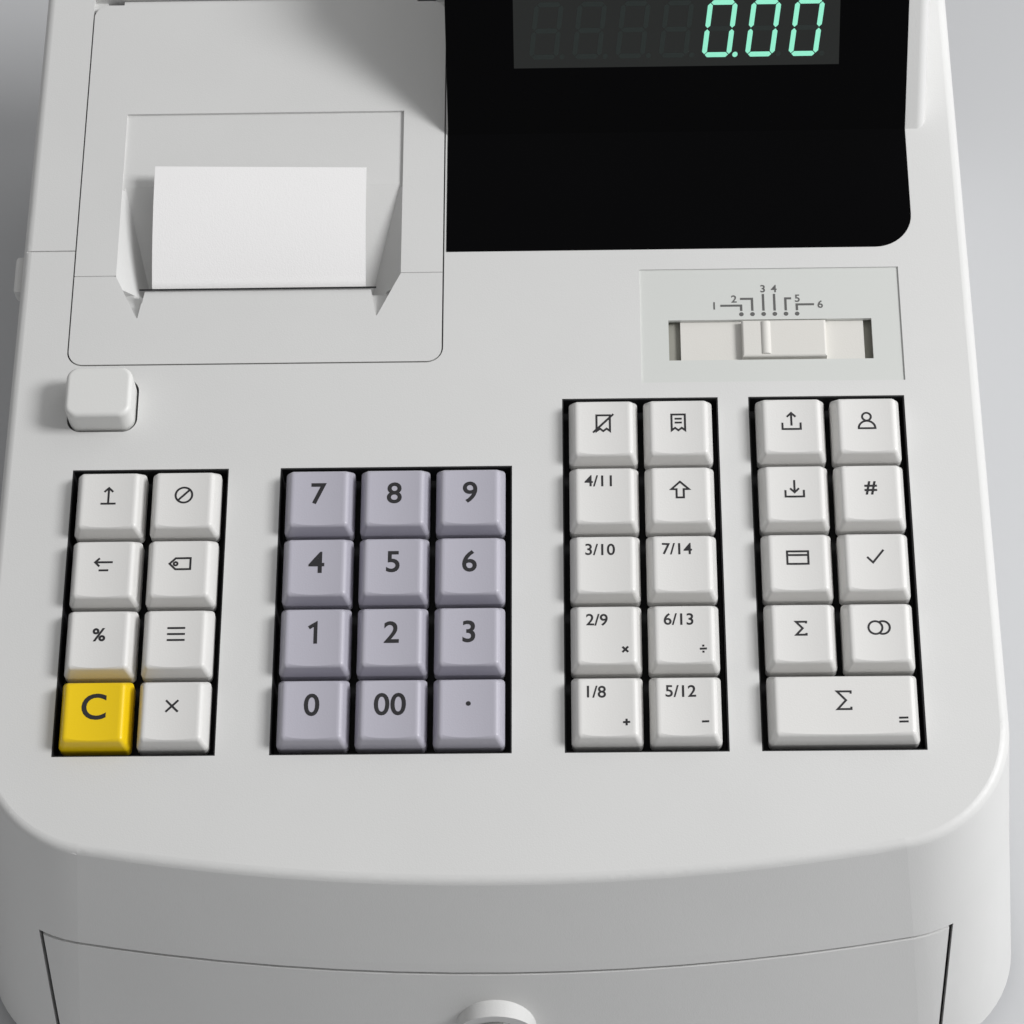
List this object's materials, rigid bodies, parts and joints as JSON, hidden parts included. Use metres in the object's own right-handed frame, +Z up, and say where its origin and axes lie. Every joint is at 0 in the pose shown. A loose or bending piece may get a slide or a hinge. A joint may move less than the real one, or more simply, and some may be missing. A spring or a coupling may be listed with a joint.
{
  "type": "cash register",
  "caption": "Compact electronic cash register: sloping key deck, receipt printer under a hinged cover, mode slide switch, indicator hood, and a cash drawer in the base.",
  "frame": {"origin": "on the table, under the middle of the housing's outline", "axes": "+Z up, +Y to the rear, +X to the right as the operator sees it"},
  "size_m": [0.268, 0.332, 0.1744],
  "materials": {
    "housing": "fine-textured moulded plastic, pale grey",
    "button_white": "smooth moulded plastic",
    "drawer_front": "fine-textured moulded plastic, pale grey",
    "tray": "smooth moulded plastic, dark",
    "clip": "smooth moulded plastic, dark",
    "lock_metal": "turned and plated",
    "paper": "thermal paper",
    "platen_rubber": "ground rubber",
    "black_plastic": "moulded plastic, black",
    "mode_film": "satin film",
    "slider_white": "semi-gloss moulded plastic",
    "panel_black": "polished black",
    "circuit_board": "solder mask with rubber domes",
    "feet_rubber": "moulded rubber",
    "key_white": "fine satin moulded plastic",
    "key_grey": "fine satin moulded plastic",
    "key_yellow": "fine satin moulded plastic"
  },
  "bodies": {
    "housing": {"top_cover": "housing", "base_cabinet": "housing", "key_plate": "black_plastic", "main_board": "circuit_board", "printer_frame": "black_plastic", "mode_plate": "mode_film", "display_panel": "panel_black", "customer_window": "panel_black", "power_inlet": "black_plastic", "rubber_feet": "feet_rubber"},
    "drawer": {"cash_drawer": "drawer_front", "coin_tray": "tray"},
    "cover": {"printer_cover": "housing", "receipt_paper": "paper"},
    "slider": {"mode_slider": "slider_white"},
    "release_button": {"cover_release_button": "button_white"},
    "roll": {"paper_roll": "paper"},
    "platen": {"platen_roller": "platen_rubber"},
    "lock": {"drawer_lock": "lock_metal"},
    "clip_left": {"bill_clip_left": "clip"},
    "clip_right": {"bill_clip_right": "clip"},
    "key_feed": {"key_feed": "key_white"},
    "key_void": {"key_void": "key_white"},
    "key_refund": {"key_refund": "key_white"},
    "key_price": {"key_price": "key_white"},
    "key_percent": {"key_percent": "key_white"},
    "key_lookup": {"key_lookup": "key_white"},
    "key_clear": {"key_clear": "key_yellow"},
    "key_quantity": {"key_quantity": "key_white"},
    "key_7": {"key_7": "key_grey"},
    "key_8": {"key_8": "key_grey"},
    "key_9": {"key_9": "key_grey"},
    "key_4": {"key_4": "key_grey"},
    "key_5": {"key_5": "key_grey"},
    "key_6": {"key_6": "key_grey"},
    "key_1": {"key_1": "key_grey"},
    "key_2": {"key_2": "key_grey"},
    "key_3": {"key_3": "key_grey"},
    "key_0": {"key_0": "key_grey"},
    "key_00": {"key_00": "key_grey"},
    "key_point": {"key_point": "key_grey"},
    "key_receipt_off": {"key_receipt_off": "key_white"},
    "key_receipt_issue": {"key_receipt_issue": "key_white"},
    "key_department_4": {"key_department_4": "key_white"},
    "key_department_shift": {"key_department_shift": "key_white"},
    "key_department_3": {"key_department_3": "key_white"},
    "key_department_7": {"key_department_7": "key_white"},
    "key_department_2": {"key_department_2": "key_white"},
    "key_department_6": {"key_department_6": "key_white"},
    "key_department_1": {"key_department_1": "key_white"},
    "key_department_5": {"key_department_5": "key_white"},
    "key_paid_out": {"key_paid_out": "key_white"},
    "key_clerk": {"key_clerk": "key_white"},
    "key_received": {"key_received": "key_white"},
    "key_no_sale": {"key_no_sale": "key_white"},
    "key_card": {"key_card": "key_white"},
    "key_check": {"key_check": "key_white"},
    "key_subtotal": {"key_subtotal": "key_white"},
    "key_charge": {"key_charge": "key_white"},
    "key_total": {"key_total": "key_white"}
  },
  "joints": [
    {"name": "drawer_slide", "type": "slide", "parent": "housing", "child": "drawer", "axis": [0, -1, 0], "range_m": [0, 0.18]},
    {"name": "cover_hinge", "type": "hinge", "parent": "housing", "child": "cover", "pos_m": [-0.0619, 0.10234, 0.1264], "axis": [-1, 0, 0], "range_deg": [0, 85]},
    {"name": "mode_slide", "type": "slide", "parent": "housing", "child": "slider", "axis": [1, 0, 0], "range_m": [-0.0058, 0.0087]},
    {"name": "release_press", "type": "slide", "parent": "housing", "child": "release_button", "axis": [0, 0.1908, -0.9816], "range_m": [0, 0.004], "stiffness_N_per_m": 250, "springref_m": -0.001},
    {"name": "roll_spin", "type": "hinge", "parent": "housing", "child": "roll", "pos_m": [-0.0619, 0.06522, 0.08679], "axis": [1, 0, 0], "continuous": true},
    {"name": "platen_spin", "type": "hinge", "parent": "housing", "child": "platen", "pos_m": [-0.0619, 0.01052, 0.09042], "axis": [1, 0, 0], "continuous": true},
    {"name": "lock_turn", "type": "hinge", "parent": "drawer", "child": "lock", "pos_m": [0, -0.1625, 0.029], "axis": [0, 1, 0], "range_deg": [0, 90]},
    {"name": "left_clip_lift", "type": "hinge", "parent": "drawer", "child": "clip_left", "pos_m": [-0.052, 0.1115, 0.0208], "axis": [-1, 0, 0], "range_deg": [0, 38], "stiffness_Nm_per_rad": 0.02, "springref_deg": -17.19},
    {"name": "right_clip_lift", "type": "hinge", "parent": "drawer", "child": "clip_right", "pos_m": [0.052, 0.1115, 0.0208], "axis": [-1, 0, 0], "range_deg": [0, 38], "stiffness_Nm_per_rad": 0.02, "springref_deg": -17.19},
    {"name": "key_feed_press", "type": "slide", "parent": "housing", "child": "key_feed", "axis": [0, 0.1908, -0.9816], "range_m": [0, 0.0035], "stiffness_N_per_m": 150, "springref_m": -0.001},
    {"name": "key_void_press", "type": "slide", "parent": "housing", "child": "key_void", "axis": [0, 0.1908, -0.9816], "range_m": [0, 0.0035], "stiffness_N_per_m": 150, "springref_m": -0.001},
    {"name": "key_refund_press", "type": "slide", "parent": "housing", "child": "key_refund", "axis": [0, 0.1908, -0.9816], "range_m": [0, 0.0035], "stiffness_N_per_m": 150, "springref_m": -0.001},
    {"name": "key_price_press", "type": "slide", "parent": "housing", "child": "key_price", "axis": [0, 0.1908, -0.9816], "range_m": [0, 0.0035], "stiffness_N_per_m": 150, "springref_m": -0.001},
    {"name": "key_percent_press", "type": "slide", "parent": "housing", "child": "key_percent", "axis": [0, 0.1908, -0.9816], "range_m": [0, 0.0035], "stiffness_N_per_m": 150, "springref_m": -0.001},
    {"name": "key_lookup_press", "type": "slide", "parent": "housing", "child": "key_lookup", "axis": [0, 0.1908, -0.9816], "range_m": [0, 0.0035], "stiffness_N_per_m": 150, "springref_m": -0.001},
    {"name": "key_clear_press", "type": "slide", "parent": "housing", "child": "key_clear", "axis": [0, 0.1908, -0.9816], "range_m": [0, 0.0035], "stiffness_N_per_m": 150, "springref_m": -0.001},
    {"name": "key_quantity_press", "type": "slide", "parent": "housing", "child": "key_quantity", "axis": [0, 0.1908, -0.9816], "range_m": [0, 0.0035], "stiffness_N_per_m": 150, "springref_m": -0.001},
    {"name": "key_7_press", "type": "slide", "parent": "housing", "child": "key_7", "axis": [0, 0.1908, -0.9816], "range_m": [0, 0.0035], "stiffness_N_per_m": 150, "springref_m": -0.001},
    {"name": "key_8_press", "type": "slide", "parent": "housing", "child": "key_8", "axis": [0, 0.1908, -0.9816], "range_m": [0, 0.0035], "stiffness_N_per_m": 150, "springref_m": -0.001},
    {"name": "key_9_press", "type": "slide", "parent": "housing", "child": "key_9", "axis": [0, 0.1908, -0.9816], "range_m": [0, 0.0035], "stiffness_N_per_m": 150, "springref_m": -0.001},
    {"name": "key_4_press", "type": "slide", "parent": "housing", "child": "key_4", "axis": [0, 0.1908, -0.9816], "range_m": [0, 0.0035], "stiffness_N_per_m": 150, "springref_m": -0.001},
    {"name": "key_5_press", "type": "slide", "parent": "housing", "child": "key_5", "axis": [0, 0.1908, -0.9816], "range_m": [0, 0.0035], "stiffness_N_per_m": 150, "springref_m": -0.001},
    {"name": "key_6_press", "type": "slide", "parent": "housing", "child": "key_6", "axis": [0, 0.1908, -0.9816], "range_m": [0, 0.0035], "stiffness_N_per_m": 150, "springref_m": -0.001},
    {"name": "key_1_press", "type": "slide", "parent": "housing", "child": "key_1", "axis": [0, 0.1908, -0.9816], "range_m": [0, 0.0035], "stiffness_N_per_m": 150, "springref_m": -0.001},
    {"name": "key_2_press", "type": "slide", "parent": "housing", "child": "key_2", "axis": [0, 0.1908, -0.9816], "range_m": [0, 0.0035], "stiffness_N_per_m": 150, "springref_m": -0.001},
    {"name": "key_3_press", "type": "slide", "parent": "housing", "child": "key_3", "axis": [0, 0.1908, -0.9816], "range_m": [0, 0.0035], "stiffness_N_per_m": 150, "springref_m": -0.001},
    {"name": "key_0_press", "type": "slide", "parent": "housing", "child": "key_0", "axis": [0, 0.1908, -0.9816], "range_m": [0, 0.0035], "stiffness_N_per_m": 150, "springref_m": -0.001},
    {"name": "key_00_press", "type": "slide", "parent": "housing", "child": "key_00", "axis": [0, 0.1908, -0.9816], "range_m": [0, 0.0035], "stiffness_N_per_m": 150, "springref_m": -0.001},
    {"name": "key_point_press", "type": "slide", "parent": "housing", "child": "key_point", "axis": [0, 0.1908, -0.9816], "range_m": [0, 0.0035], "stiffness_N_per_m": 150, "springref_m": -0.001},
    {"name": "key_receipt_off_press", "type": "slide", "parent": "housing", "child": "key_receipt_off", "axis": [0, 0.1908, -0.9816], "range_m": [0, 0.0035], "stiffness_N_per_m": 150, "springref_m": -0.001},
    {"name": "key_receipt_issue_press", "type": "slide", "parent": "housing", "child": "key_receipt_issue", "axis": [0, 0.1908, -0.9816], "range_m": [0, 0.0035], "stiffness_N_per_m": 150, "springref_m": -0.001},
    {"name": "key_department_4_press", "type": "slide", "parent": "housing", "child": "key_department_4", "axis": [0, 0.1908, -0.9816], "range_m": [0, 0.0035], "stiffness_N_per_m": 150, "springref_m": -0.001},
    {"name": "key_department_shift_press", "type": "slide", "parent": "housing", "child": "key_department_shift", "axis": [0, 0.1908, -0.9816], "range_m": [0, 0.0035], "stiffness_N_per_m": 150, "springref_m": -0.001},
    {"name": "key_department_3_press", "type": "slide", "parent": "housing", "child": "key_department_3", "axis": [0, 0.1908, -0.9816], "range_m": [0, 0.0035], "stiffness_N_per_m": 150, "springref_m": -0.001},
    {"name": "key_department_7_press", "type": "slide", "parent": "housing", "child": "key_department_7", "axis": [0, 0.1908, -0.9816], "range_m": [0, 0.0035], "stiffness_N_per_m": 150, "springref_m": -0.001},
    {"name": "key_department_2_press", "type": "slide", "parent": "housing", "child": "key_department_2", "axis": [0, 0.1908, -0.9816], "range_m": [0, 0.0035], "stiffness_N_per_m": 150, "springref_m": -0.001},
    {"name": "key_department_6_press", "type": "slide", "parent": "housing", "child": "key_department_6", "axis": [0, 0.1908, -0.9816], "range_m": [0, 0.0035], "stiffness_N_per_m": 150, "springref_m": -0.001},
    {"name": "key_department_1_press", "type": "slide", "parent": "housing", "child": "key_department_1", "axis": [0, 0.1908, -0.9816], "range_m": [0, 0.0035], "stiffness_N_per_m": 150, "springref_m": -0.001},
    {"name": "key_department_5_press", "type": "slide", "parent": "housing", "child": "key_department_5", "axis": [0, 0.1908, -0.9816], "range_m": [0, 0.0035], "stiffness_N_per_m": 150, "springref_m": -0.001},
    {"name": "key_paid_out_press", "type": "slide", "parent": "housing", "child": "key_paid_out", "axis": [0, 0.1908, -0.9816], "range_m": [0, 0.0035], "stiffness_N_per_m": 150, "springref_m": -0.001},
    {"name": "key_clerk_press", "type": "slide", "parent": "housing", "child": "key_clerk", "axis": [0, 0.1908, -0.9816], "range_m": [0, 0.0035], "stiffness_N_per_m": 150, "springref_m": -0.001},
    {"name": "key_received_press", "type": "slide", "parent": "housing", "child": "key_received", "axis": [0, 0.1908, -0.9816], "range_m": [0, 0.0035], "stiffness_N_per_m": 150, "springref_m": -0.001},
    {"name": "key_no_sale_press", "type": "slide", "parent": "housing", "child": "key_no_sale", "axis": [0, 0.1908, -0.9816], "range_m": [0, 0.0035], "stiffness_N_per_m": 150, "springref_m": -0.001},
    {"name": "key_card_press", "type": "slide", "parent": "housing", "child": "key_card", "axis": [0, 0.1908, -0.9816], "range_m": [0, 0.0035], "stiffness_N_per_m": 150, "springref_m": -0.001},
    {"name": "key_check_press", "type": "slide", "parent": "housing", "child": "key_check", "axis": [0, 0.1908, -0.9816], "range_m": [0, 0.0035], "stiffness_N_per_m": 150, "springref_m": -0.001},
    {"name": "key_subtotal_press", "type": "slide", "parent": "housing", "child": "key_subtotal", "axis": [0, 0.1908, -0.9816], "range_m": [0, 0.0035], "stiffness_N_per_m": 150, "springref_m": -0.001},
    {"name": "key_charge_press", "type": "slide", "parent": "housing", "child": "key_charge", "axis": [0, 0.1908, -0.9816], "range_m": [0, 0.0035], "stiffness_N_per_m": 150, "springref_m": -0.001},
    {"name": "key_total_press", "type": "slide", "parent": "housing", "child": "key_total", "axis": [0, 0.1908, -0.9816], "range_m": [0, 0.0035], "stiffness_N_per_m": 150, "springref_m": -0.001}
  ],
  "couplings": [
    {"joint": "platen_spin", "follows": "roll_spin", "ratio": -4}
  ]
}
